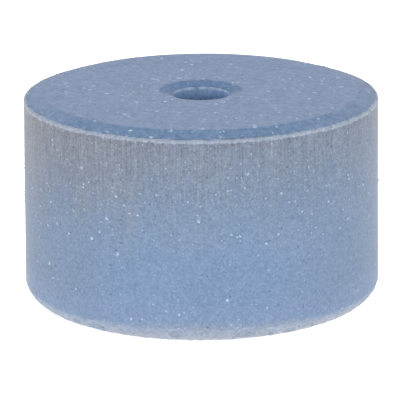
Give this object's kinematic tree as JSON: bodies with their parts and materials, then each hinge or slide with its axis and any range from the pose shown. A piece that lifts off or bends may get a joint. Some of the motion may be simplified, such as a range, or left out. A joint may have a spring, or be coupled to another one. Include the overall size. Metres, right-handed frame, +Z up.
{
  "type": "mineral lick block",
  "caption": "Short round lick block of pressed blue mineral salt with pale salt crystals in its skin and a countersunk bore through it for a rope or stake.",
  "frame": {"origin": "middle of the face that the block stands on", "axes": "+Z up along the bore, out of the worn-flat top face; -Y is the front, which looks like every other side; +X is to its right"},
  "size_m": [0.2222, 0.2222, 0.1324],
  "materials": {
    "blue_salt": "matte pressed salt, grainy, with fine drawn streaks high on the wall",
    "white_salt": "translucent white salt crystal, slight gloss",
    "cream_salt": "cream mineral crystal, satin"
  },
  "bodies": {
    "root": {"lick_block": "blue_salt", "top_crystal_01": "cream_salt", "top_crystal_02": "white_salt", "top_crystal_03": "white_salt", "top_crystal_04": "white_salt", "top_crystal_05": "white_salt", "top_crystal_06": "white_salt", "top_crystal_07": "white_salt", "top_crystal_08": "white_salt", "top_crystal_09": "cream_salt", "top_crystal_10": "white_salt", "wall_crystal_01": "cream_salt", "wall_crystal_02": "white_salt", "wall_crystal_03": "white_salt", "wall_crystal_04": "white_salt", "wall_crystal_05": "white_salt", "wall_crystal_06": "white_salt", "wall_crystal_07": "white_salt", "wall_crystal_08": "white_salt", "wall_crystal_09": "cream_salt", "wall_crystal_10": "white_salt", "wall_crystal_11": "white_salt", "wall_crystal_12": "white_salt", "wall_crystal_13": "white_salt", "wall_crystal_14": "white_salt", "wall_crystal_15": "white_salt", "wall_crystal_16": "white_salt", "wall_crystal_17": "cream_salt", "wall_crystal_18": "white_salt", "wall_crystal_19": "white_salt", "wall_crystal_20": "white_salt", "wall_crystal_21": "white_salt", "wall_crystal_22": "white_salt", "wall_crystal_23": "white_salt", "wall_crystal_24": "white_salt", "wall_crystal_25": "cream_salt", "wall_crystal_26": "white_salt", "wall_crystal_27": "white_salt", "wall_crystal_28": "white_salt", "wall_crystal_29": "white_salt", "wall_crystal_30": "white_salt", "wall_crystal_31": "white_salt", "wall_crystal_32": "white_salt", "wall_crystal_33": "cream_salt", "wall_crystal_34": "white_salt", "wall_crystal_35": "white_salt", "wall_crystal_36": "white_salt", "wall_crystal_37": "white_salt", "wall_crystal_38": "white_salt", "wall_crystal_39": "white_salt", "wall_crystal_40": "white_salt", "wall_crystal_41": "cream_salt", "wall_crystal_42": "white_salt", "wall_crystal_43": "white_salt", "wall_crystal_44": "white_salt", "wall_crystal_45": "white_salt", "wall_crystal_46": "white_salt"}
  },
  "joints": []
}
